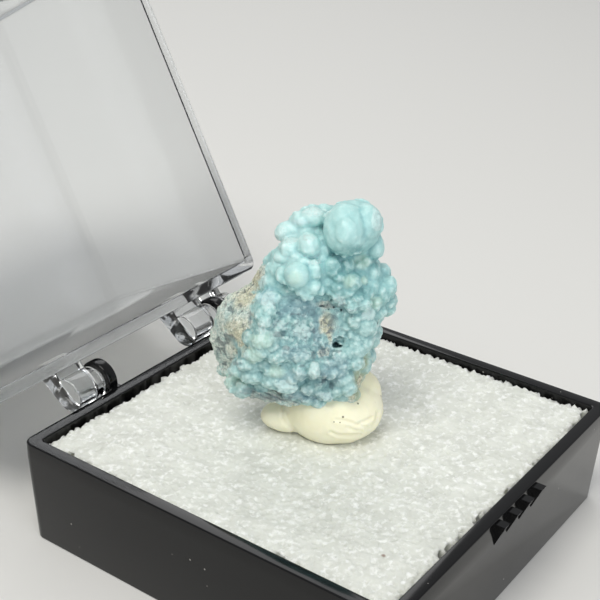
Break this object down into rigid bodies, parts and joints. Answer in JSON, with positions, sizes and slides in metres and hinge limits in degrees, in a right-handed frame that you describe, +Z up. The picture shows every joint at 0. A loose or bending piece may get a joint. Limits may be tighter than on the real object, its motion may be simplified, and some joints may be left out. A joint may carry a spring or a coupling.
{
  "type": "gibbsite specimen in a hinged display box",
  "caption": "Pale blue botryoidal gibbsite crust on rock, held by putty on a foam pad in a shallow black box with a deep clear hinged lid that leans open.",
  "frame": {"origin": "centre of the box's underside", "axes": "+Z up, +X along the hinge, +Y from the catch side to the hinge side"},
  "size_m": [0.038, 0.0824, 0.0459],
  "materials": {
    "gibbsite": "waxy botryoidal crust on broken rock",
    "putty": "kneaded mineral putty",
    "foam": "cut cellular polystyrene foam",
    "black_polystyrene": "glossy moulding",
    "clear_polystyrene": "clear glossy moulding"
  },
  "bodies": {
    "box_body": {"base": "black_polystyrene", "foam_pad": "foam", "putty": "putty", "gibbsite": "gibbsite"},
    "lid_body": {"lid": "clear_polystyrene"}
  },
  "joints": [
    {"name": "lid_hinge", "type": "hinge", "parent": "box_body", "child": "lid_body", "pos_m": [0, 0.0213, 0.01], "axis": [1, 0, 0], "range_deg": [0, 118.9]}
  ]
}
